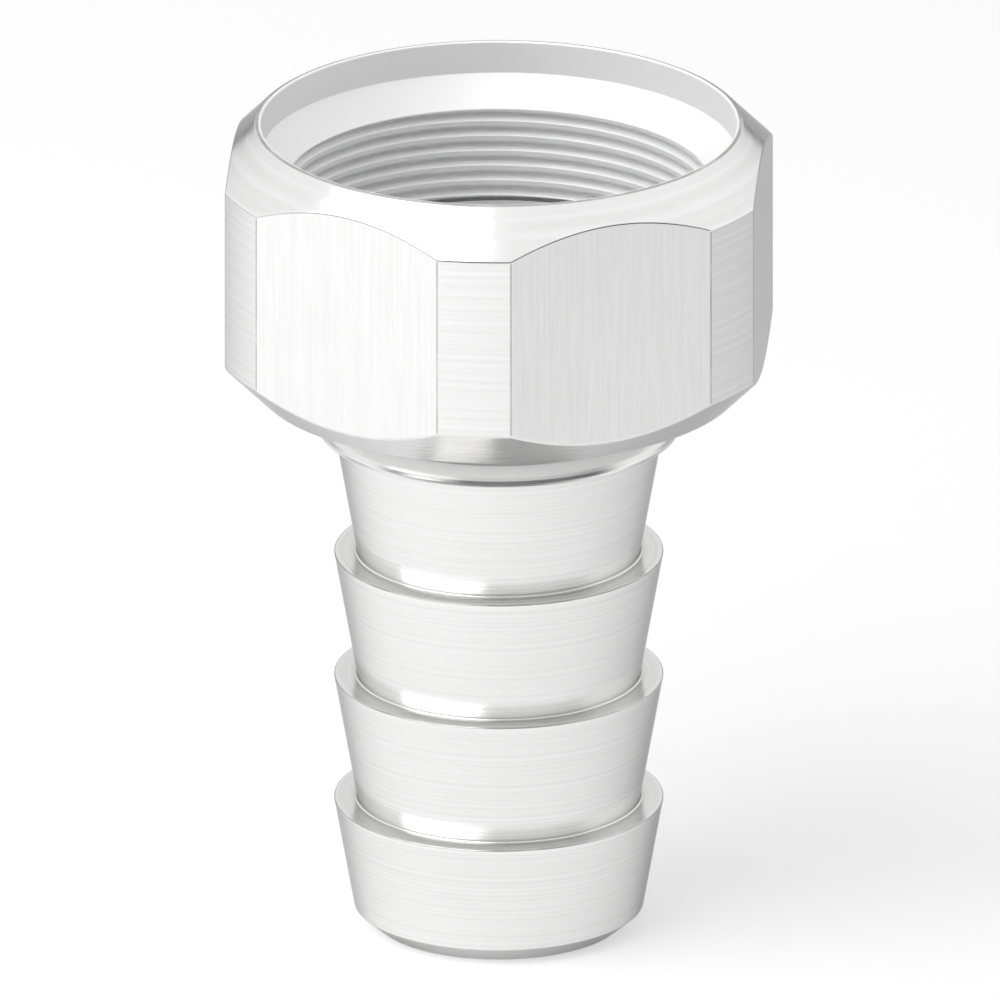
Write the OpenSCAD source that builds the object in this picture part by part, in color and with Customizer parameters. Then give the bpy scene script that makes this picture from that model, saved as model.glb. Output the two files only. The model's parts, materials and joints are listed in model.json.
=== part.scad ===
// Shower hose connector: a union nut that turns on a barbed hose tail, with a
// flat sealing washer inside. All sizes are in millimetres. The tail's end face
// is at z = 0 and the nut's mouth opens upward.

/* [Union nut] */
// Width of the nut across its spanner flats
nut_af = 24; // [23:0.5:28]
// Height of the nut
nut_h = 12.4; // [11:0.1:18]
// How far the six corners are turned back from a sharp hexagon, along the radius
corner_trim = 0.86; // [0.2:0.02:1.4]
// Width of the flat ring left at the nut's rim
rim_land = 0.25; // [0.15:0.05:0.6]
// Depth of the plain recess at the nut's mouth
mouth_depth = 1.5; // [0.5:0.1:2.5]
// Step of the 45 degree lead-in between the recess and the thread, along the radius
lead_in = 1.275; // [0.6:0.025:1.6]
// Diameter of the thread's crests
thread_crest_d = 18.95; // [18:0.05:19.5]
// Pitch of the thread's turns
thread_pitch = 0.71; // [0.62:0.01:1]
// Depth of the grooves between the thread's crests, along the radius
thread_depth = 0.4; // [0.2:0.02:0.5]
// Angle between the two flanks of a groove, in degrees
thread_angle = 55; // [50:1:60]
// How far the washer chamber is wider than the thread's crests, along the radius
chamber_step = 0.5; // [0.2:0.05:0.9]
// Thickness of the nut's floor
floor_t = 2.1; // [1.5:0.1:3]

/* [Hose tail] */
// Largest diameter of the barbs, which is also the shank's
barb_d = 14.9; // [13.6:0.1:16]
// Diameter of the tail at the foot of each barb
barb_root_d = 12.8; // [12.2:0.1:13.4]
// Length of one barb
barb_pitch = 5.9; // [4:0.1:8]
// Number of tapers, counting the one under the collar
taper_count = 4; // [2:1:6]
// Diameter of the water passage
passage_d = 9.5; // [7:0.1:10.2]
// Diameter of the end face
tip_d = 11.2; // [10.8:0.1:12]
// Height of the chamfer above the end face
tip_h = 0.8; // [0.4:0.1:1.5]
// Chamfer at both ends of the water passage
passage_chamfer = 0.25; // [0.1:0.05:0.3]

/* [Collar, neck and flange] */
// How far the collar stands out from the shank, along the radius
collar_step = 0.7; // [0.3:0.05:1.1]
// Radius of the collar's rounded upper side
collar_round_r = 1.4; // [1.3:0.1:2.5]
// Slope of the rounded side at the collar's lower edge, in degrees from upright
collar_edge_slope = 13; // [5:1:20]
// Height from the collar's underside to the shoulder that the nut rests on
shank_h = 2.1; // [2:0.1:4]
// Depth of the groove that holds the nut's floor
groove_depth = 0.45; // [0.3:0.05:0.8]
// Thickness of the flange inside the nut
flange_t = 1.2; // [0.8:0.1:2]

/* [Sealing washer] */
// Thickness of the washer
washer_t = 2; // [1:0.1:2.5]
// How far the washer's hole is set back from the water passage, along the radius
washer_setback = 0.75; // [0.2:0.05:1.5]

/* [Fits] */
// Running clearance between the nut's floor and the neck, along the radius
neck_clearance = 0.08; // [0.05:0.01:0.1]
// Clearance of the flange and the washer inside the thread, along the radius
drop_in_clearance = 0.225; // [0.1:0.025:0.4]
// Axial play of the nut on each side of its floor
nut_play = 0.1; // [0.05:0.05:0.3]

/* [Hidden] */
$fn = 96;

// Radii of the tail, from the outside in
barb_r = barb_d / 2;
barb_root_r = barb_root_d / 2;
collar_r = barb_r + collar_step;
neck_r = barb_r - groove_depth;
flange_r = thread_crest_d / 2 - drop_in_clearance;
passage_r = passage_d / 2;
tip_r = tip_d / 2;

// Heights of the tail, from its end face up
collar_z = taper_count * barb_pitch;
shoulder_z = collar_z + shank_h;
nut_z = shoulder_z + nut_play;
flange_z = nut_z + floor_t + nut_play;
flange_top_z = flange_z + flange_t;
washer_top_z = flange_top_z + washer_t;

// Radii of the nut
thread_crest_r = thread_crest_d / 2;
mouth_r = thread_crest_r + lead_in;
rim_r = mouth_r + rim_land;
corner_r = nut_af / 2 / cos(30) - corner_trim;
chamber_r = thread_crest_r + chamber_step;
floor_hole_r = neck_r + neck_clearance;

// Heights inside the nut: the thread ends at the washer's upper face
nut_top_z = nut_z + nut_h;
lead_in_top_z = nut_top_z - mouth_depth;
thread_top_z = lead_in_top_z - lead_in;

// Height of a 45 degree chamfer from the corners to the rim
nut_chamfer = corner_r - rim_r;

// Extra length of a cut past the surface that it opens
cut = 1;

// Profile of one taper, with its wide flat side up, as half a section
module taper_section(bottom_z) {
    translate([0, bottom_z])
        polygon([[0, 0], [barb_root_r, 0], [barb_r, barb_pitch], [0, barb_pitch]]);
}

// Half section of the collar: a flat underside, a sharp lower edge and a rounded
// upper side that runs into the shank
module collar_section() {
    centre_r = collar_r - collar_round_r * cos(collar_edge_slope);
    centre_z = collar_z - collar_round_r * sin(collar_edge_slope);
    intersection() {
        translate([centre_r, centre_z]) circle(r = collar_round_r);
        translate([centre_r, collar_z]) square([collar_r, collar_round_r]);
    }
}

// Half section of the tail's outside above the collar's underside
module head_section() {
    translate([0, collar_z]) square([barb_r, shank_h]);
    collar_section();
    translate([0, collar_z]) square([neck_r, flange_top_z - collar_z]);
    translate([0, flange_z]) square([flange_r, flange_t]);
}

// Half section of the water passage, opened out by a chamfer at both ends
module passage_section() {
    mouth = passage_chamfer + cut;
    translate([0, -cut]) square([passage_r, flange_top_z + 2 * cut]);
    polygon([[0, -cut], [passage_r + mouth, -cut], [passage_r, passage_chamfer], [0, passage_chamfer]]);
    translate([0, flange_top_z])
        polygon([[0, cut], [passage_r + mouth, cut], [passage_r, -passage_chamfer], [0, -passage_chamfer]]);
}

// Half section of what the chamfer takes off the tail's tip
module tip_cut_section() {
    tip_edge_r = barb_root_r + (barb_r - barb_root_r) * tip_h / barb_pitch;
    slope = (tip_edge_r - tip_r) / tip_h;
    polygon([[tip_r - slope * cut, -cut], [tip_edge_r, tip_h], [barb_r + cut, tip_h], [barb_r + cut, -cut]]);
}

// The barbed tail, turned from one piece, with the flange that holds it in the nut
module hose_tail() {
    color([0.86, 0.87, 0.88])
        rotate_extrude()
            difference() {
                union() {
                    for (i = [0 : taper_count - 1]) taper_section(i * barb_pitch);
                    head_section();
                }
                passage_section();
                tip_cut_section();
            }
}

// Half section of a disc with both outer edges chamfered: it trims the hexagon
module nut_trim_section() {
    translate([0, nut_z])
        polygon([
            [0, 0], [rim_r, 0], [corner_r, nut_chamfer],
            [corner_r, nut_h - nut_chamfer], [rim_r, nut_h], [0, nut_h]
        ]);
}

// Half section of the thread's grooves, Vs that open at the crests. Each turn is drawn
// as a ring, so the crests stay a true bore.
module thread_groove_section() {
    half_width = thread_depth * tan(thread_angle / 2);
    for (z = [thread_top_z - thread_pitch / 2 : -thread_pitch : washer_top_z + half_width])
        translate([thread_crest_r, z])
            polygon([
                [-cut, -half_width], [0, -half_width], [thread_depth, 0],
                [0, half_width], [-cut, half_width]
            ]);
}

// Half section of the nut's inside: floor hole, washer chamber, thread, lead-in, recess
module nut_bore_section() {
    chamber_z = nut_z + floor_t;
    translate([0, nut_z - cut]) square([floor_hole_r, nut_h]);
    translate([0, chamber_z]) square([chamber_r, washer_top_z - chamber_z]);
    translate([0, chamber_z]) square([thread_crest_r, nut_top_z - chamber_z]);
    thread_groove_section();
    polygon([
        [0, thread_top_z], [thread_crest_r, thread_top_z],
        [mouth_r, lead_in_top_z], [0, lead_in_top_z]
    ]);
    translate([0, lead_in_top_z]) square([mouth_r, mouth_depth + cut]);
}

// The hexagonal union nut, held by its floor in the groove of the tail
module union_nut() {
    color([0.9, 0.9, 0.91])
        difference() {
            intersection() {
                translate([0, 0, nut_z])
                    cylinder(h = nut_h, r = nut_af / 2 / cos(30), $fn = 6);
                rotate_extrude() nut_trim_section();
            }
            rotate_extrude() nut_bore_section();
        }
}

// The flat rubber washer that lies on the flange
module sealing_washer() {
    hole_r = passage_r + washer_setback;
    color([0.55, 0.55, 0.54])
        translate([0, 0, flange_top_z])
            difference() {
                cylinder(h = washer_t, r = flange_r);
                translate([0, 0, -cut]) cylinder(h = washer_t + 2 * cut, r = hole_r);
            }
}

hose_tail();
union_nut();
sealing_washer();
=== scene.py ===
import json
import math
import bpy
import numpy as np
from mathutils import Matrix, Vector


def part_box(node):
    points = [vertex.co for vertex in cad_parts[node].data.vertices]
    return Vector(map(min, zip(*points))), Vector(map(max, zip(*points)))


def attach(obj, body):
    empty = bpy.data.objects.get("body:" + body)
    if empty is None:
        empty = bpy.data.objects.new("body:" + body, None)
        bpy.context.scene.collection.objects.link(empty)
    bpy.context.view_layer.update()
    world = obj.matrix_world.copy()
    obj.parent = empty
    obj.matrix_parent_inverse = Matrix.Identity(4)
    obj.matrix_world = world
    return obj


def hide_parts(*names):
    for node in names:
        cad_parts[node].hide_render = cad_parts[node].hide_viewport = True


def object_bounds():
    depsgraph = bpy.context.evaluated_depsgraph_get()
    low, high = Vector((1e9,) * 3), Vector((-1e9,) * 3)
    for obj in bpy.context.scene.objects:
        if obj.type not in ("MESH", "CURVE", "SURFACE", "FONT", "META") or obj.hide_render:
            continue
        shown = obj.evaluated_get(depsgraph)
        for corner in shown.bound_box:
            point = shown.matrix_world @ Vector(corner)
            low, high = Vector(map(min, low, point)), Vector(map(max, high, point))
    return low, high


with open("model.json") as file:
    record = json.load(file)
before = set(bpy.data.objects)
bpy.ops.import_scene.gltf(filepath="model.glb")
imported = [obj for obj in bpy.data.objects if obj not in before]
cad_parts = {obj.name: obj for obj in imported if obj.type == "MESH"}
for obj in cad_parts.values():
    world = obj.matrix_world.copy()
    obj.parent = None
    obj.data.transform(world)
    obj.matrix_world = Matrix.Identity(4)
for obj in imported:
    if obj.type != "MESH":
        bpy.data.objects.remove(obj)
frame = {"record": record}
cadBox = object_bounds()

# A union nut that turns on a barbed hose tail, with a flat washer inside.
# Everything is in metres, in the frame of the solids: the tail's end is at z = 0.
mm = 0.001
weldDistance = 0.001 * mm  # points that lie closer than this are joined
mounts = {mount["name"]: mount for mount in frame["record"]["mounts"]}
crestRadius = mounts["inlet_thread"]["dims"]["r_mm"] * mm
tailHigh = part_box("hose_tail")[1]
nutLow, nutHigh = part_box("union_nut")
washerLow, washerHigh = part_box("sealing_washer")
print("frame loaded")


# Node trees: sockets with arithmetic, and one method that makes any node

class Socket:
    def __init__(self, tree, output):
        self.tree = tree
        self.output = output

    def maths(self, operation, *values):
        return self.tree.maths(operation, self, *values)

    def other(self, name):  # another output of the same node
        return Socket(self.tree, self.output.node.outputs[name])

    def __add__(self, value):
        return self.tree.maths("ADD", self, value)

    def __sub__(self, value):
        return self.tree.maths("SUBTRACT", self, value)

    def __mul__(self, value):
        return self.tree.maths("MULTIPLY", self, value)

    def __truediv__(self, value):
        return self.tree.maths("DIVIDE", self, value)

    def __rsub__(self, value):
        return self.tree.maths("SUBTRACT", value, self)

    def __rtruediv__(self, value):
        return self.tree.maths("DIVIDE", value, self)

    def __neg__(self):
        return self.tree.maths("MULTIPLY", self, -1.0)

    __radd__ = __add__
    __rmul__ = __mul__


class Tree:
    def __init__(self, nodeTree):
        self.nodeTree = nodeTree

    # kind is the node's type, settings its properties and stops, inputs its values and links
    def add(self, kind, settings=None, inputs=None, output=0):
        node = self.nodeTree.nodes.new(kind)
        for name, value in (settings or {}).items():
            if name == "stops":
                setStops(node.color_ramp, value)
            else:
                setattr(node, name, value)
        for key, value in (inputs or {}).items():
            if isinstance(value, Socket):
                self.nodeTree.links.new(value.output, node.inputs[key])
            else:
                node.inputs[key].default_value = value
        return Socket(self, node.outputs[output]) if len(node.outputs) else node

    def maths(self, operation, *values):
        return self.add("ShaderNodeMath", {"operation": operation}, dict(enumerate(values)))

    def separate(self, vector):
        x = self.add("ShaderNodeSeparateXYZ", {}, {0: vector}, "X")
        return x, x.other("Y"), x.other("Z")

    def rescale(self, value, low, high, newLow=0.0, newHigh=1.0, steps="SMOOTHSTEP"):
        return self.add("ShaderNodeMapRange", {"interpolation_type": steps}, {
            "Value": value, "From Min": low, "From Max": high, "To Min": newLow, "To Max": newHigh})

    def noise(self, size, detail=2.0, roughness=0.5, **where):  # size is the noise's grain
        kind = "1D" if "W" in where else "3D"
        return self.add("ShaderNodeTexNoise", {"noise_dimensions": kind}, {
            "Scale": 1.0 / size, "Detail": detail, "Roughness": roughness, **where})

    def blend(self, factor, first, second):  # colours only
        return self.add("ShaderNodeMix", {"data_type": "RGBA"}, {0: factor, 6: first, 7: second}, 2)


def between(low, high, share):  # low where share is 0, high where it is 1
    return low + share * (high - low)


def setStops(ramp, stops):
    while len(ramp.elements) < len(stops):
        ramp.elements.new(1.0)
    for element, (place, colour) in zip(ramp.elements, stops):
        element.position = place
        element.color = colour


def grey(level, warmth=0.0):
    return (level + warmth, level, level - warmth, 1.0)


# Geometry trees

def newGeometryTree(name, inputs):
    nodeTree = bpy.data.node_groups.new(name, "GeometryNodeTree")
    nodeTree.interface.new_socket("Geometry", in_out="OUTPUT", socket_type="NodeSocketGeometry")
    nodeTree.interface.new_socket("Geometry", in_out="INPUT", socket_type="NodeSocketGeometry")
    for inputName, kind in inputs.items():
        nodeTree.interface.new_socket(inputName, in_out="INPUT", socket_type="NodeSocket" + kind)
    tree = Tree(nodeTree)
    return tree, tree.add("NodeGroupInput")


def endTree(tree, geometry, material):
    solid = tree.add("GeometryNodeRealizeInstances", {}, {"Geometry": geometry})
    painted = tree.add("GeometryNodeSetMaterial", {}, {"Geometry": solid, "Material": material})
    tree.add("NodeGroupOutput", {}, {0: painted})
    return tree.nodeTree


def applyTree(piece, nodeTree, values):
    modifier = piece.modifiers.new(nodeTree.name, "NODES")
    modifier.node_group = nodeTree
    for item in nodeTree.interface.items_tree:
        if item.in_out == "INPUT" and item.name in values:
            modifier[item.identifier] = values[item.name]


def meshPlaces(mesh):
    places = np.empty(len(mesh.vertices) * 3, np.float32)
    mesh.vertices.foreach_get("co", places)
    return places.reshape(-1, 3).astype(float)


# Stores a value on each point of a mesh, for its finish to read
def markPoints(mesh, name, values):
    attribute = mesh.attributes.new(name, "FLOAT", "POINT")
    attribute.data.foreach_set("value", values.astype(np.float32).ravel())


# Normals weighted by the faces' areas, so that flats shade flat right up to their soft edges
def evenNormals(mesh):
    mesh.calc_loop_triangles()
    corners = np.empty(len(mesh.loop_triangles) * 3, np.int32)
    mesh.loop_triangles.foreach_get("vertices", corners)
    corners = corners.reshape(-1, 3)
    places = meshPlaces(mesh)
    first, second, third = places[corners].swapaxes(0, 1)
    areas = np.cross(second - first, third - first)
    normals = np.zeros_like(places)
    for i in range(3):
        np.add.at(normals, corners[:, i], areas)
    normals /= np.linalg.norm(normals, axis=1)[:, None]
    mesh.normals_split_custom_set_from_vertices(normals.tolist())


# Turns the modifiers' result into the piece's own plain mesh
def settlePiece(piece):
    depsgraph = bpy.context.evaluated_depsgraph_get()
    finished = bpy.data.meshes.new_from_object(piece.evaluated_get(depsgraph), depsgraph=depsgraph)
    evenNormals(finished)
    piece.modifiers.clear()
    piece.data = finished
    finished.name = piece.name
    print(piece.name, len(finished.vertices), "vertices", len(finished.polygons), "faces")


def newPiece(name, mesh):
    piece = bpy.data.objects.new(name, mesh)
    bpy.context.scene.collection.objects.link(piece)
    return piece


# Tail: its half section is a closed line of (radius, height, softness of the corner),
# and a tree adds the repeated barbs and turns the line round the passage

tail = {
    "taperCount": 4,
    "barbPitch": 5.9 * mm,
    "barbRadius": 7.45 * mm,
    "rootRadius": 6.4 * mm,
    "tipRadius": 5.6 * mm,
    "tipHeight": 0.8 * mm,
    "passageChamfer": 0.25 * mm,
    "collarStep": 0.7 * mm,
    "collarRound": 1.4 * mm,
    "collarSlope": math.radians(13),
    "shankHeight": 2.1 * mm,
    "grooveDepth": 0.45 * mm,
    "flangeHeight": 1.2 * mm,
    "barbSoftness": 0.06 * mm,
    "rootSoftness": 0.1 * mm,
    "cornerSoftness": 0.12 * mm,
    "collarSoftness": 0.03 * mm,
    "shankSoftness": 0.05 * mm,  # of the last taper's edge, under the collar
    "passageSoftness": 0.05 * mm,  # where the passage meets its chamfers
    "mouthSoftness": 0.03 * mm,  # where those chamfers meet the end faces
    "wornShare": 0.8,  # reach of the worn line on an edge, as a share of its softness
    "collarPoints": 9,
    "cornerSteps": 4,
    "around": 288,
}


def addBarbTree():
    tree, given = newGeometryTree("addBarbs", {
        "Copies": "Int", "Pitch": "Float", "Barb Radius": "Float", "Root Radius": "Float",
        "Barb Softness": "Float", "Root Softness": "Float"})
    pitch, root = given.other("Pitch"), given.other("Root Radius")
    # one taper and its flat upper side: foot, barb, foot of the next
    line = tree.add("GeometryNodeMeshLine", {}, {"Count": 3})
    index = tree.add("GeometryNodeInputIndex")
    isBarb = 1.0 - (index - 1.0).maths("ABSOLUTE")
    place = tree.add("ShaderNodeCombineXYZ", {}, {
        "X": between(root, given.other("Barb Radius"), isBarb),
        "Y": pitch * index.maths("MINIMUM", 1.0)})
    shaped = tree.add("GeometryNodeSetPosition", {}, {"Geometry": line, "Position": place})
    softness = between(given.other("Root Softness"), given.other("Barb Softness"), isBarb)
    marked = tree.add("GeometryNodeStoreNamedAttribute", {"data_type": "FLOAT"}, {
        "Geometry": shaped, "Name": "softness", "Value": softness})
    start = tree.add("ShaderNodeCombineXYZ", {}, {"Y": pitch})
    feet = tree.add("GeometryNodeMeshLine", {}, {
        "Count": given.other("Copies"), "Start Location": start, "Offset": start})
    barbs = tree.add("GeometryNodeInstanceOnPoints", {}, {"Points": feet, "Instance": marked})
    barbs = tree.add("GeometryNodeRealizeInstances", {}, {"Geometry": barbs})
    joined = tree.add("GeometryNodeJoinGeometry", {}, {"Geometry": given})
    tree.nodeTree.links.new(barbs.output, joined.output.node.inputs[0])
    welded = tree.add("GeometryNodeMergeByDistance", {}, {"Geometry": joined, "Distance": weldDistance})
    tree.add("NodeGroupOutput", {}, {0: welded})
    return tree.nodeTree


# Softens the section's corners and turns it round the axis. The section's radii
# count from the passage, whose circle it follows.
def turnedTree():
    tree, given = newGeometryTree("turnSection", {
        "Passage Radius": "Float", "Segments": "Int", "Corner Steps": "Int", "Material": "Material"})
    section = tree.add("GeometryNodeMeshToCurve", {}, {"Mesh": given})
    x, y, _ = tree.separate(tree.add("GeometryNodeInputPosition"))
    place = tree.add("ShaderNodeCombineXYZ", {}, {"X": x - given.other("Passage Radius"), "Y": -y})
    section = tree.add("GeometryNodeSetPosition", {}, {"Geometry": section, "Position": place})
    softness = tree.add("GeometryNodeInputNamedAttribute", {"data_type": "FLOAT"}, {"Name": "softness"})
    section = tree.add("GeometryNodeFilletCurve", {"mode": "POLY"}, {
        "Curve": section, "Count": given.other("Corner Steps"), "Radius": softness, "Limit Radius": True})
    circle = tree.add("GeometryNodeCurvePrimitiveCircle", {}, {
        "Resolution": given.other("Segments"), "Radius": given.other("Passage Radius")})
    circle = tree.add("GeometryNodeSetCurveNormal", {"mode": "Z_UP"}, {"Curve": circle})
    turned = tree.add("GeometryNodeCurveToMesh", {}, {"Curve": circle, "Profile Curve": section})
    turned = tree.add("GeometryNodeMergeByDistance", {}, {"Geometry": turned, "Distance": weldDistance})
    turned = tree.add("GeometryNodeFlipFaces", {}, {"Mesh": turned})  # so that they point outwards
    turned = tree.add("GeometryNodeSetShadeSmooth", {}, {"Geometry": turned})
    return endTree(tree, turned, given.other("Material"))


# Mesh of one line through (radius, height, softness) points; the pairs in gaps aren't joined
def sectionMesh(name, points, gaps=()):
    count = len(points)
    edges = [(i, (i + 1) % count) for i in range(count) if i not in gaps]
    mesh = bpy.data.meshes.new(name)
    mesh.from_pydata([(radius, height, 0) for radius, height, softness in points], edges, [])
    softness = mesh.attributes.new("softness", "FLOAT", "POINT")
    softness.data.foreach_set("value", [point[2] for point in points])
    return mesh


def collarArc(collarZ):
    collarRadius = tail["barbRadius"] + tail["collarStep"]
    bend = tail["collarRound"]
    centreRadius = collarRadius - bend * math.cos(tail["collarSlope"])
    centreZ = collarZ - bend * math.sin(tail["collarSlope"])
    lastAngle = math.acos((tail["barbRadius"] - centreRadius) / bend)
    angles = np.linspace(tail["collarSlope"], lastAngle, tail["collarPoints"])
    soft = tail["collarSoftness"]
    return [(centreRadius + bend * math.cos(a), centreZ + bend * math.sin(a), soft) for a in angles]


# Marks the middle of the soft edges of the barbs and the collar, where hoses rub
def markWornEdges(mesh, barb, pitch, collarZ):
    x, y, z = meshPlaces(mesh).T
    edges = [(barb, pitch * i, tail["barbSoftness"]) for i in range(1, tail["taperCount"])]
    edges.append((barb + tail["collarStep"], collarZ, tail["collarSoftness"]))
    worn = np.zeros(len(z), bool)
    for edgeRadius, edgeZ, softness in edges:
        worn |= np.hypot(np.hypot(x, y) - edgeRadius, z - edgeZ) < softness * tail["wornShare"]
    markPoints(mesh, "worn", worn)


def makeTail(material):
    passage = mounts["water_passage"]["dims"]["r_mm"] * mm
    pitch, barb, root = tail["barbPitch"], tail["barbRadius"], tail["rootRadius"]
    tipEdge = root + (barb - root) * tail["tipHeight"] / pitch
    soft, chamfer = tail["cornerSoftness"], tail["passageChamfer"]
    collarZ = tail["taperCount"] * pitch
    shoulderZ = collarZ + tail["shankHeight"]
    neck = barb - tail["grooveDepth"]
    flangeZ = tailHigh.z - tail["flangeHeight"]
    points = [
        (passage, chamfer, tail["passageSoftness"]), (passage + chamfer, 0, tail["mouthSoftness"]),
        (tail["tipRadius"], 0, soft), (tipEdge, tail["tipHeight"], soft),
        (barb, pitch, tail["barbSoftness"]), (root, pitch, tail["rootSoftness"]),
        (root, collarZ - pitch, tail["rootSoftness"]), (barb, collarZ, tail["shankSoftness"])]
    gap = 5  # the barbs that the tree adds go between these two feet
    points += collarArc(collarZ)
    points += [
        (barb, shoulderZ, soft), (neck, shoulderZ, soft), (neck, flangeZ, soft),
        (tailHigh.x, flangeZ, soft), (tailHigh.x, tailHigh.z, soft),
        (passage + chamfer, tailHigh.z, tail["mouthSoftness"]),
        (passage, tailHigh.z - chamfer, tail["passageSoftness"])]
    piece = newPiece("hoseTail", sectionMesh("tailSection", points, gaps=[gap]))
    applyTree(piece, addBarbTree(), {
        "Copies": tail["taperCount"] - 2, "Pitch": pitch, "Barb Radius": barb, "Root Radius": root,
        "Barb Softness": tail["barbSoftness"], "Root Softness": tail["rootSoftness"]})
    applyTree(piece, turnedTree(), {
        "Passage Radius": passage, "Segments": tail["around"],
        "Corner Steps": tail["cornerSteps"], "Material": material})
    settlePiece(piece)
    markWornEdges(piece.data, barb, pitch, collarZ)
    return piece


# Washer: a flat ring with moulded, rounded edges

washer = {
    "holeRadius": 5.5 * mm,
    "softness": 0.3 * mm,
    "cornerSteps": 6,
    "around": 192,
}


def makeWasher(material):
    hole, soft = washer["holeRadius"], washer["softness"]
    points = [
        (hole, washerHigh.z, soft), (hole, washerLow.z, soft),
        (washerHigh.x, washerLow.z, soft), (washerHigh.x, washerHigh.z, soft)]
    piece = newPiece("sealingWasher", sectionMesh("washerSection", points))
    applyTree(piece, turnedTree(), {
        "Passage Radius": hole, "Segments": washer["around"],
        "Corner Steps": washer["cornerSteps"], "Material": material})
    settlePiece(piece)
    return piece


# Nut: rings of points that go once round its section, at each angle round the axis.
# The outside follows the hexagon, whose corners are turned back, and a tree cuts the thread.

nut = {
    "mouthRadius": 10.75 * mm,
    "rimLand": 0.25 * mm,
    "mouthDepth": 1.5 * mm,
    "floorHeight": 2.1 * mm,
    "floorHoleRadius": 7.08 * mm,
    "chamberStep": 0.5 * mm,
    "flatBlend": 0.03 * mm,
    "outerSoftness": 0.26 * mm,
    "rimSoftness": 0.09 * mm,
    "innerSoftness": 0.1 * mm,
    "threadEndSoftness": 0.02 * mm,
    "cornerSteps": 4,
    "flatColumns": 8,  # of the mesh, from a flat's middle to edgeGap before its edge
    "edgeGap": 7.2,  # in degrees, as edgeColumns, which stand to each side of the edge
    "edgeColumns": [0.09, 0.27, 0.5, 0.8, 1.2, 1.75, 2.5, 3.6, 5.2],
    "wornAngle": math.radians(0.1),  # of the worn line along an upright edge, to each side
    "weldDistance": 0.0005 * mm,  # less than the shared one, because the thread's rows are close
}
thread = {
    "pitch": 0.71 * mm,
    "depth": 0.4 * mm,
    "flankSlope": math.tan(math.radians(27.5)),
    "rootWidth": 0.05 * mm,
    "crestHeight": 33.31 * mm,  # of one crest, at crestAngle round the axis
    "crestAngle": math.radians(125),
    "edgeSpacing": 0.02 * mm,  # between the rows that keep an edge crisp
    "runOut": 0.3 * mm,  # length over which the last turn fades at the lead-in
    "runOutRows": 14,
    "leadInReach": 1.5,  # of those rows up the lead-in, as a share of the groove's depth
    "lowMargin": 0.01 * mm,  # how far the cut goes below the thread's end
    "highMargin": 0.2 * mm,  # how far it goes into the lead-in
}
flatHalfAngle = math.acos(nutHigh.y / nutHigh.x)  # from the middle of a flat to its edge


# Angles of the mesh's columns, closer together where a flat meets a turned corner
def nutAngles():
    edge = math.degrees(flatHalfAngle)
    steps = nut["edgeColumns"]
    half = list(np.linspace(0, edge - nut["edgeGap"], nut["flatColumns"]))[1:]
    half += [edge - step for step in steps] + [edge + step for step in steps]
    side = sorted([-angle for angle in half] + [0, 30] + half)
    return np.radians([0] + [30 + 60 * i + angle for i in range(6) for angle in side])


# Radius of the nut's outside at each angle: the flats, met softly by the turned corners
def nutOuterRadius(angles):
    flat, corner, blend = nutHigh.y, nutHigh.x, nut["flatBlend"]
    fromFlat = (angles - math.radians(30)) % math.radians(60)
    fromFlat = np.minimum(fromFlat, math.radians(60) - fromFlat)
    flats = flat / np.cos(fromFlat)
    overlap = np.maximum(blend - np.abs(flats - corner), 0) / blend
    return np.minimum(flats, corner) - overlap * overlap * blend / 4


# Points of one rounded corner of the section, for all angles at once
def roundedCorner(before, corner, after, softness, steps):
    toBefore = before - corner
    toAfter = after - corner
    toBefore /= np.linalg.norm(toBefore, axis=0)
    toAfter /= np.linalg.norm(toAfter, axis=0)
    halfAngle = np.arccos(np.clip((toBefore * toAfter).sum(axis=0), -1, 1)) / 2
    inward = (toBefore + toAfter) / np.linalg.norm(toBefore + toAfter, axis=0)
    centre = corner + inward * softness / np.sin(halfAngle)
    start = corner + toBefore * softness / np.tan(halfAngle) - centre
    end = corner + toAfter * softness / np.tan(halfAngle) - centre
    sweep = math.pi - 2 * halfAngle
    shares = np.linspace(0, 1, steps + 1)
    return [
        centre + (start * np.sin((1 - share) * sweep) + end * np.sin(share * sweep)) / np.sin(sweep)
        for share in shares]


def threadTopHeight():  # where the 45 degree lead-in meets the crests
    return nutHigh.z - nut["mouthDepth"] - (nut["mouthRadius"] - crestRadius)


def grooveHalfWidth():
    return thread["rootWidth"] / 2 + thread["depth"] * thread["flankSlope"]


# Heights of the bore's rows, which climb with the thread so that they lie along its edges
def threadRowHeights(angles, low, high):
    pitch, step = thread["pitch"], thread["edgeSpacing"]
    root, half = thread["rootWidth"] / 2, grooveHalfWidth()
    side = [root, root + step, (root + half) / 2, half - step, half, half + step]
    offsets = [-offset for offset in reversed(side)] + [0] + side + [pitch / 2]
    groove = thread["crestHeight"] + pitch * ((angles - thread["crestAngle"]) / math.tau + 0.5)
    firstTurn = math.floor((low - groove.max()) / pitch) - 1
    lastTurn = math.ceil((high - groove.min()) / pitch)
    turns = range(firstTurn, lastTurn + 1)
    heights = [np.clip(groove + pitch * turn + offset, low, high) for turn in turns for offset in offsets]
    return [row for row in heights if row.max() > low and row.min() < high]


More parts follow.
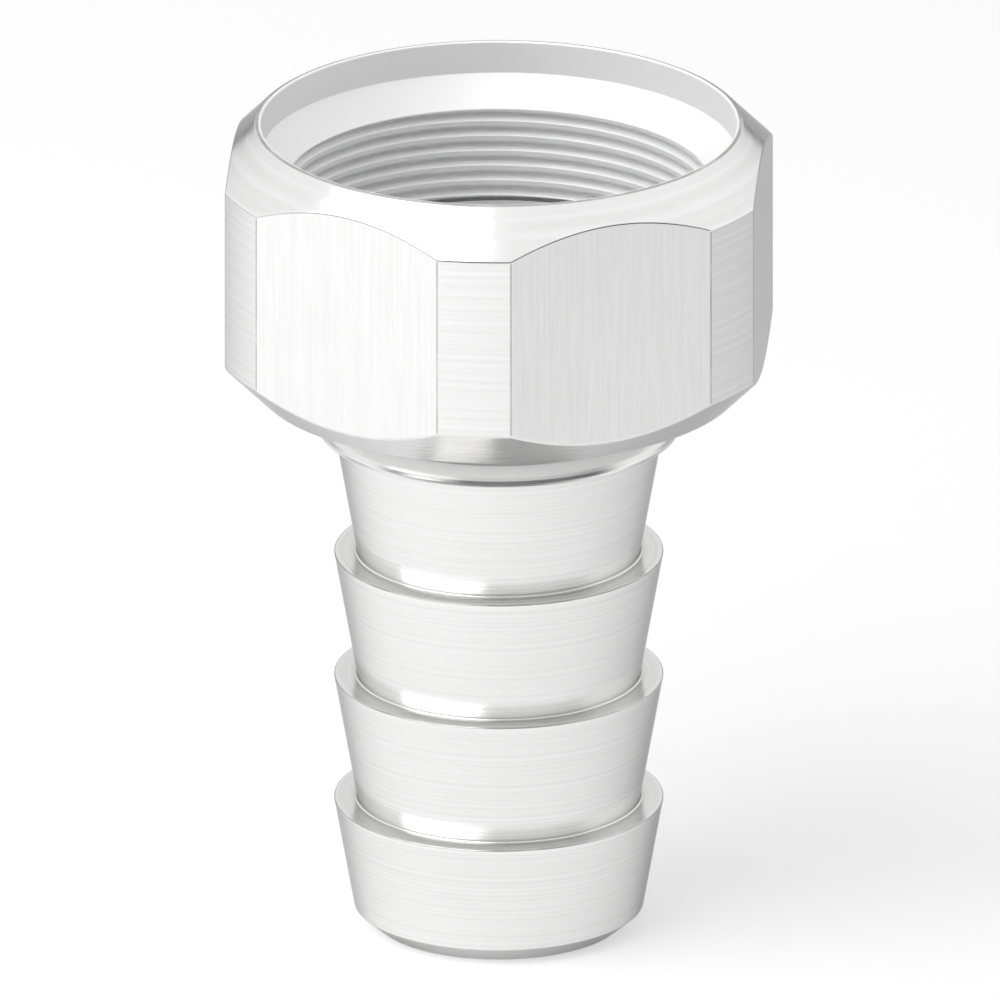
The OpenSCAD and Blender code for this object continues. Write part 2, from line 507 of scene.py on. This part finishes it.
def makeNutMesh():
    angles = nutAngles()
    outer = nutOuterRadius(angles)
    mouth = nut["mouthRadius"]
    rim = mouth + nut["rimLand"]
    bottom, top = nutLow.z, nutHigh.z
    recessZ, threadTop = top - nut["mouthDepth"], threadTopHeight()
    chamberTop, floorTop = washerHigh.z, bottom + nut["floorHeight"]
    chamber = crestRadius + nut["chamberStep"]
    hole = nut["floorHoleRadius"]
    chamfer = outer - rim

    def ring(radius, height):
        return np.array([np.broadcast_to(part, angles.shape) for part in (radius, height)], float)

    outerSoft, rimSoft, innerSoft = nut["outerSoftness"], nut["rimSoftness"], nut["innerSoftness"]
    corners = [
        (ring(hole, bottom), innerSoft), (ring(rim, bottom), rimSoft),
        (ring(outer, bottom + chamfer), outerSoft), (ring(outer, top - chamfer), outerSoft),
        (ring(rim, top), outerSoft), (ring(mouth, top), rimSoft),
        (ring(mouth, recessZ), rimSoft), (ring(crestRadius, threadTop), rimSoft),
        (ring(crestRadius, chamberTop), nut["threadEndSoftness"]), (ring(chamber, chamberTop), rimSoft),
        (ring(chamber, floorTop), innerSoft), (ring(hole, floorTop), innerSoft)]
    lowChamfer, highChamfer, rimEdge, leadIn, threadEnd = 2, 3, 4, 7, 8
    rows, flatRows, rimRows = [], [], []
    for i, (corner, softness) in enumerate(corners):
        before, after = corners[i - 1][0], corners[(i + 1) % len(corners)][0]
        arc = roundedCorner(before, corner, after, softness, nut["cornerSteps"])
        if i == leadIn:  # rows down the lead-in, where the first groove cuts it
            grooveReach = thread["depth"] * thread["leadInReach"]
            start = corner + (before - corner) * grooveReach / np.linalg.norm(before - corner, axis=0)
            shares = np.linspace(0, 1, thread["runOutRows"])[:-1]
            rows += [start + (arc[0] - start) * share for share in shares]
        if i == threadEnd:
            heights = threadRowHeights(angles, arc[0][1].max(), rows[-1][1].min())
            rows += [ring(crestRadius, height) for height in reversed(heights)]
        firstRow = len(rows)
        rows += arc
        if i == lowChamfer:
            flatRows.append(len(rows) - 1)
        if i == highChamfer:
            flatRows.append(firstRow)
        if i == rimEdge:
            rimRows = list(range(firstRow + nut["cornerSteps"] // 2, len(rows)))
    radii = np.array([row[0] for row in rows])
    heights = np.array([row[1] for row in rows])
    places = np.stack([radii * np.cos(angles), radii * np.sin(angles), heights], axis=2)
    point = np.arange(radii.size).reshape(radii.shape)
    nextRow = np.roll(point, -1, axis=0)
    faces = np.stack([point[:, :-1], point[:, 1:], nextRow[:, 1:], nextRow[:, :-1]], axis=2)
    mesh = bpy.data.meshes.new("unionNut")
    mesh.from_pydata(places.reshape(-1, 3).tolist(), [], faces.reshape(-1, 4).tolist())
    # for the finish: the flats, which are drawn and not turned, and the worn edges
    fromEdge = np.abs(angles % math.radians(60) - math.radians(30)) - flatHalfAngle
    onFlat, worn = np.zeros((2, *radii.shape), np.float32)
    onFlat[flatRows] = fromEdge < 0
    worn[flatRows] = np.abs(fromEdge) < nut["wornAngle"]
    worn[rimRows] = 1
    markPoints(mesh, "onFlat", onFlat)
    markPoints(mesh, "worn", worn)
    return mesh


# Cuts a right-handed thread into the bore: each point near the crests moves out to the groove
def threadTree():
    tree, given = newGeometryTree("cutThread", {
        "Crest Radius": "Float", "Pitch": "Float", "Depth": "Float", "Groove Half Width": "Float",
        "Root Half Width": "Float", "Crest Turn": "Float", "Low End": "Float", "High End": "Float",
        "Run Out": "Float", "Material": "Material"})
    welded = tree.add("GeometryNodeMergeByDistance", {}, {
        "Geometry": given, "Distance": nut["weldDistance"]})
    x, y, z = tree.separate(tree.add("GeometryNodeInputPosition"))
    radius = (x * x + y * y).maths("SQRT")
    turn = y.maths("ARCTAN2", x) / math.tau
    phase = (z / given.other("Pitch") - turn - given.other("Crest Turn")).maths("FRACT")
    fromRoot = (phase - 0.5).maths("ABSOLUTE") * given.other("Pitch")
    rootHalf, grooveHalf = given.other("Root Half Width"), given.other("Groove Half Width")
    shape = tree.rescale(fromRoot, rootHalf, grooveHalf, 1.0, 0.0, "LINEAR")
    highEnd = given.other("High End")
    fade = tree.rescale(z, highEnd - given.other("Run Out"), highEnd, 1.0, 0.0, "LINEAR")
    groove = given.other("Crest Radius") + given.other("Depth") * shape * fade
    reach = given.other("Crest Radius") + given.other("Depth")
    inBore = radius.maths("LESS_THAN", reach)
    inBore = inBore * z.maths("GREATER_THAN", given.other("Low End")) * z.maths("LESS_THAN", highEnd)
    stretch = radius.maths("MAXIMUM", groove) / radius
    place = tree.add("ShaderNodeCombineXYZ", {}, {"X": x * stretch, "Y": y * stretch, "Z": z})
    cut = tree.add("GeometryNodeSetPosition", {}, {
        "Geometry": welded, "Selection": inBore, "Position": place})
    cut = tree.add("GeometryNodeSetShadeSmooth", {}, {"Geometry": cut})
    return endTree(tree, cut, given.other("Material"))


def makeNut(material):
    piece = newPiece("unionNut", makeNutMesh())
    applyTree(piece, threadTree(), {
        "Crest Radius": crestRadius, "Pitch": thread["pitch"],
        "Depth": thread["depth"], "Groove Half Width": grooveHalfWidth(),
        "Root Half Width": thread["rootWidth"] / 2,
        "Crest Turn": thread["crestHeight"] / thread["pitch"] - thread["crestAngle"] / math.tau,
        "Low End": washerHigh.z - thread["lowMargin"],
        "High End": threadTopHeight() + thread["highMargin"],
        "Run Out": thread["runOut"], "Material": material})
    settlePiece(piece)
    return piece


# Finishes. The marks' widths and depths are in millimetres.

plating = {  # the same on the nut and the tail
    "radiusPace": 1.6,  # how fast the rings follow the radius, against the height
    "unevenSize": 4.0,
    "unevenness": 0.15,
    "patchSize": 2.5,
    "markRange": (-0.3, 0.3),  # of the marks, from the dull colour to the plain one
    # painted shade: darker in hollows and corners, where the piece shades itself, with a little grime that
    # also roughens it
    "grimeShadeReach": 0.6 * mm,
    "grimeShadeRange": (0.2, 0.9),
    "rubHighlightReach": 0.25 * mm,  # of the painted highlight along a soft edge
    "rubHighlightRange": (0.04, 0.3),
    "rubHighlightShare": 0.7,
    "wornRange": (0.3, 0.6, 0.5, 0.9),  # from patches to the strength of the worn lines
    "patchRoughness": 0.1,
    "markRoughness": 0.12,
    "grimeShadeRoughness": 0.2,
    "rubRoughness": 0.05,
    "grainTurn": 0.25,  # lays the anisotropy along the marks
}
nutPlating = {
    "colour": grey(0.88),
    "paintedLightColour": grey(0.95),  # painted highlight along rubbed edges, and painted light in the bore
    "dullColour": grey(0.82, 0.002),
    # painted shade in hollows and corners, with a little grime
    "grimeShade": grey(0.4, 0.008),
    "grimeShadeShare": 0.75,
    "turnedShade": 0.05,  # how much darker the turned faces are than the flats
    "wornColour": grey(0.42, 0.004),  # of the fine worn lines
    "roughness": 0.14,
    "boreRoughness": 0.72,
    "boreGrimeShadeShare": 0.05,
    "borePaintedLight": 1.0,  # share of the bright colour in the bore, painted light that lifts its shade
    "boreRadius": 10.88,
    "ringWidth": 0.2,
    "ringDepth": 0.003,
    "streakWidth": 0.13,
    "streakLength": 4.0,
    "anisotropy": 0.0,
    "edgeTint": grey(0.62),  # chromium mirrors less just short of grazing
}
tailPlating = {
    "colour": grey(0.9, 0.001),
    # painted highlight along rubbed edges
    "paintedLightColour": grey(0.96),
    "dullColour": grey(0.84, 0.003),
    # painted shade in hollows and corners, with a little grime
    "grimeShade": grey(0.38, 0.01),
    "grimeShadeShare": 0.75,
    "wornColour": grey(0.42, 0.004),
    "roughness": 0.19,
    "boreRoughness": 0.42,
    "boreGrimeShadeShare": 0.5,
    "borePaintedLight": 0.0,
    "boreRadius": 4.9,
    "ringWidth": 0.22,
    "ringDepth": 0.006,
    "anisotropy": 0.45,
    "edgeTint": grey(0.55),
}
rubber = {
    "colour": grey(0.53, -0.002),
    "paleColour": grey(0.58),
    "roughness": 0.8,
    "grain": 0.12,
    "grainDepth": 0.02,
    "bloomSize": 1.8,
    "bloomRange": (0.4, 0.75),
    "bloomRoughness": 0.12,
    "ringPace": 2.2,
    "ringDepth": 0.01,
}


def newMaterial(name):
    material = bpy.data.materials.new(name)
    material.use_nodes = True
    material.node_tree.nodes.clear()
    return material, Tree(material.node_tree)


def endMaterial(tree, inputs):
    shader = tree.add("ShaderNodeBsdfPrincipled", {}, inputs)
    tree.add("ShaderNodeOutputMaterial", {}, {"Surface": shader})


# Place on the piece in millimetres, its height, and its distance from the axis
def pieceCoordinates(tree):
    place = tree.add("ShaderNodeTexCoord", {}, {}, "Object")
    inMm = tree.add("ShaderNodeVectorMath", {"operation": "SCALE"}, {0: place, "Scale": 1.0 / mm})
    x, y, z = tree.separate(inMm)
    return inMm, z, (x * x + y * y).maths("SQRT")


def shelter(tree, distance, inside=False):  # 0 in the open, more in a cavity, or inside along an edge
    settings = {"samples": 4, "inside": inside, "only_local": True}
    return 1.0 - tree.add("ShaderNodeAmbientOcclusion", settings, {"Distance": distance}, "AO")


def platedMetal(name, finish, flats):
    material, tree = newMaterial(name)
    inMm, height, radius = pieceCoordinates(tree)
    # lathe marks: rings round the axis, a little uneven round the piece
    uneven = tree.noise(plating["unevenSize"], Vector=inMm) * plating["unevenness"]
    along = height + radius * plating["radiusPace"] + uneven
    marks = tree.noise(finish["ringWidth"], 2.0, W=along) - 0.5
    if flats:  # the flats keep the drawn bar's long marks instead
        onFlat = tree.add("ShaderNodeAttribute", {"attribute_name": "onFlat"}, {}, "Fac")
        squeeze = (1.0, 1.0, finish["streakWidth"] / finish["streakLength"])
        drawn = tree.add("ShaderNodeVectorMath", {"operation": "MULTIPLY"}, {0: inMm, 1: squeeze})
        streaks = tree.noise(finish["streakWidth"], 2.0, Vector=drawn) - 0.5
        marks = between(marks, streaks, onFlat) - (1.0 - onFlat) * finish["turnedShade"]
    patches = tree.noise(plating["patchSize"], 4.0, 0.6, Vector=inMm)
    inBore = radius.maths("LESS_THAN", finish["boreRadius"])
    # painted shade: the colour darkens in hollows and corners, where the piece shades itself, and grime
    # roughens them
    grimeShadeShare = between(finish["grimeShadeShare"], finish["boreGrimeShadeShare"], inBore)
    cavity = shelter(tree, plating["grimeShadeReach"])
    grimeShade = tree.rescale(cavity + (patches - 0.5) * 0.2, *plating["grimeShadeRange"]) * grimeShadeShare
    # painted highlight: a brighter band along convex soft edges, which are also burnished smoother
    edge = shelter(tree, plating["rubHighlightReach"], inside=True)
    rubbedHighlight = tree.rescale(edge + (patches - 0.5) * 0.1, *plating["rubHighlightRange"])
    clean = tree.rescale(marks + (patches - 0.5) * 0.4, *plating["markRange"])
    tint = tree.blend(clean, finish["dullColour"], finish["colour"])
    # painted light: the highlight along edges, and the nut's whole bore lifted to the bright colour as it
    # lies in shade
    paintedLight = (rubbedHighlight * plating["rubHighlightShare"]).maths("MAXIMUM", inBore * finish["borePaintedLight"])
    tint = tree.blend(paintedLight, tint, finish["paintedLightColour"])
    tint = tree.blend(grimeShade, tint, finish["grimeShade"])
    worn = tree.add("ShaderNodeAttribute", {"attribute_name": "worn"}, {}, "Fac")
    tint = tree.blend(worn * tree.rescale(patches, *plating["wornRange"]), tint, finish["wornColour"])
    roughness = between(finish["roughness"], finish["boreRoughness"], inBore)
    roughness = roughness + (patches - 0.5) * plating["patchRoughness"] - marks * plating["markRoughness"]
    roughness = roughness + grimeShade * plating["grimeShadeRoughness"] - rubbedHighlight * plating["rubRoughness"]
    bump = tree.add("ShaderNodeBump", {}, {
        "Strength": 1.0, "Distance": mm, "Height": marks * finish["ringDepth"]})
    endMaterial(tree, {
        "Base Color": tint, "Metallic": 1.0, "Roughness": roughness, "Normal": bump,
        "Specular Tint": finish["edgeTint"], "Anisotropic": finish["anisotropy"],
        "Anisotropic Rotation": plating["grainTurn"]})
    return material


def rubberMaterial(name, finish):
    material, tree = newMaterial(name)
    inMm, _, radius = pieceCoordinates(tree)
    grain = tree.noise(finish["grain"], 3.0, 0.6, Vector=inMm)
    bloom = tree.rescale(tree.noise(finish["bloomSize"], 3.0, 0.6, Vector=inMm), *finish["bloomRange"])
    tint = tree.blend(bloom, finish["colour"], finish["paleColour"])
    mouldRings = (radius * finish["ringPace"]).maths("SINE") * finish["ringDepth"]
    bump = tree.add("ShaderNodeBump", {}, {
        "Strength": 1.0, "Distance": mm, "Height": (grain - 0.5) * finish["grainDepth"] + mouldRings})
    endMaterial(tree, {
        "Base Color": tint, "Roughness": finish["roughness"] - bloom * finish["bloomRoughness"],
        "Normal": bump})
    return material


nutPiece = makeNut(platedMetal("nutPlating", nutPlating, flats=True))
tailPiece = makeTail(platedMetal("tailPlating", tailPlating, flats=False))
washerPiece = makeWasher(rubberMaterial("washerRubber", rubber))
print("pieces made")


# Camera: a plan-like view from above the horizon, as in the drawing, square to its axis

cameraPlan = {
    "azimuth": math.radians(35),
    "elevation": math.radians(20),
    "pixelsEachMm": 22.13,
    "imageSide": 1000,
    "axisColumn": 498.8,
    "footRow": 917.2,
    "distance": 0.25,
    "nearClip": 0.01,
    "farClip": 3.0,
}


def makeCamera(plan):
    data = bpy.data.cameras.new("camera")
    data.type = "ORTHO"
    data.ortho_scale = plan["imageSide"] / plan["pixelsEachMm"] * mm
    data.clip_start, data.clip_end = plan["nearClip"], plan["farClip"]
    camera = bpy.data.objects.new("camera", data)
    bpy.context.scene.collection.objects.link(camera)
    azimuth, elevation = plan["azimuth"], plan["elevation"]
    right = Vector((math.cos(azimuth), math.sin(azimuth), 0))
    level = math.cos(elevation)
    back = Vector((math.sin(azimuth) * level, -math.cos(azimuth) * level, math.sin(elevation)))
    middle = plan["imageSide"] / 2
    height = (plan["footRow"] - middle) / plan["pixelsEachMm"] / level * mm
    sideways = (middle - plan["axisColumn"]) / plan["pixelsEachMm"] * mm
    camera.location = Vector((0, 0, height)) + right * sideways + back * plan["distance"]
    camera.rotation_mode = "QUATERNION"
    camera.rotation_quaternion = (-back).to_track_quat("-Z", "Y")
    bpy.context.scene.camera = camera
    return right, back


cameraRight, cameraBack = makeCamera(cameraPlan)


# Floor, world and lamps

studio = {
    "floorSide": 1.2,
    "floorColour": grey(0.95),
    "floorSeenLift": 0.3,  # whitens the floor in the picture and keeps the shadow on it
    "floorMirroredLift": 0.28,  # painted light on the floor, seen only in reflections, on the lamp's side
    "floorMirroredShade": 0.08,  # painted shade on the floor, seen only in reflections, on the other side
    "floorBlend": 0.08,
    "floorRoughness": 0.7,
    "floorShine": 0.2,
    "worldLevel": 0.5,
    "darkSideLevel": 0.1,  # what metal sees low down on the camera's side of the room
    "darkSideLow": 0.11,
    "darkSideLowFade": 0.1,
    "darkSideHigh": 0.62,
    "darkSideHighFade": 0.2,
    "cameraSideBlend": 0.4,
    "horizonLevel": 0.4,
    "horizonHeight": 0.1,
    "keyPower": 0.66,
    "keyDistance": 0.36,
    "keySide": 0.4,
    "keyRight": -1.0,  # its direction, in the camera's right, the floor's forward and up
    "keyForward": 0.69,
    "keyUp": 1.38,
}


# 1 where the picture looks at a surface, and 1 where a mirrored or bent ray does
def seenRays(tree):
    isCamera = tree.add("ShaderNodeLightPath", {}, {}, "Is Camera Ray")
    return isCamera, isCamera.other("Is Glossy Ray").maths("MAXIMUM", isCamera.other("Is Transmission Ray"))


def makeFloor():
    half = studio["floorSide"] / 2
    mesh = bpy.data.meshes.new("floor")
    corners = [(-half, -half, 0), (half, -half, 0), (half, half, 0), (-half, half, 0)]
    mesh.from_pydata(corners, [], [(0, 1, 2, 3)])
    floor = newPiece("floor", mesh)
    material, tree = newMaterial("paleFloor")
    place = tree.add("ShaderNodeTexCoord", {}, {}, "Object")
    key = keyDirection()
    keySide = tree.add("ShaderNodeVectorMath", {"operation": "DOT_PRODUCT"}, {
        0: place, 1: tuple(Vector((key.x, key.y, 0)).normalized())}, "Value")
    # painted light and shade for reflections: the floor glows more on the lamp's side than on the other
    mirrored = tree.rescale(keySide, -studio["floorBlend"], studio["floorBlend"],
        studio["floorMirroredShade"], studio["floorMirroredLift"])
    isCamera, isMirrored = seenRays(tree)
    lift = (isCamera * studio["floorSeenLift"]).maths("MAXIMUM", isMirrored * mirrored)
    endMaterial(tree, {
        "Base Color": studio["floorColour"], "Roughness": studio["floorRoughness"],
        "Specular IOR Level": studio["floorShine"],
        "Emission Color": lift, "Emission Strength": 1.0})
    mesh.materials.append(material)


def keyDirection():  # the drawing's light comes from the upper left, a little in front
    forward = Vector((cameraBack.x, cameraBack.y, 0)).normalized()
    upward = Vector((0, 0, studio["keyUp"]))
    return (studio["keyRight"] * cameraRight + studio["keyForward"] * forward + upward).normalized()


def makeWorld():
    world = bpy.data.worlds.new("studio")
    bpy.context.scene.world = world
    world.use_nodes = True
    world.node_tree.nodes.clear()
    tree = Tree(world.node_tree)
    isCamera, isMirrored = seenRays(tree)
    direction = tree.add("ShaderNodeTexCoord", {}, {}, "Generated")
    toCamera = tree.add("ShaderNodeVectorMath", {"operation": "DOT_PRODUCT"}, {
        0: direction, 1: (cameraBack.x, cameraBack.y, 0.0)}, "Value")
    height = tree.separate(direction)[2]
    low, high = studio["darkSideLow"], studio["darkSideHigh"]
    band = tree.rescale(height, low, low + studio["darkSideLowFade"])
    band = band * tree.rescale(height, high - studio["darkSideHighFade"], high, 1.0, 0.0)
    cameraSide = tree.rescale(toCamera, 0.0, studio["cameraSideBlend"])
    horizon = tree.rescale(height.maths("ABSOLUTE"), 0.0, studio["horizonHeight"], 1.0, 0.0)
    horizon = horizon * (1.0 - cameraSide) * (1.0 - studio["horizonLevel"])
    mirrored = 1.0 - horizon - band * cameraSide * (1.0 - studio["darkSideLevel"])
    level = between(studio["worldLevel"], mirrored, isMirrored)
    level = between(level, 1.0, isCamera)
    background = tree.add("ShaderNodeBackground", {}, {"Color": grey(1.0), "Strength": level})
    tree.add("ShaderNodeOutputWorld", {}, {"Surface": background})


def makeLamp(name, direction, distance, side, power):
    data = bpy.data.lights.new(name, "AREA")
    data.shape = "DISK"
    data.size = side
    data.energy = power
    lamp = bpy.data.objects.new(name, data)
    bpy.context.scene.collection.objects.link(lamp)
    lamp.location = direction * distance + Vector((0, 0, cadBox[1].z / 2))
    lamp.rotation_mode = "QUATERNION"
    lamp.rotation_quaternion = (-direction).to_track_quat("-Z", "Y")


makeFloor()
makeWorld()
makeLamp("keyLamp", keyDirection(), studio["keyDistance"], studio["keySide"], studio["keyPower"])
bpy.context.scene.view_settings.view_transform = "Standard"
print("stage made")

# Each piece stands for its solid, which is hidden, and rides on its body
for piece, node, body, slot in (
    (nutPiece, "union_nut", "nut", "nut_metal"),
    (tailPiece, "hose_tail", "tail", "tail_metal"),
    (washerPiece, "sealing_washer", "tail", "washer_rubber"),
):
    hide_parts(node)
    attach(piece, body)
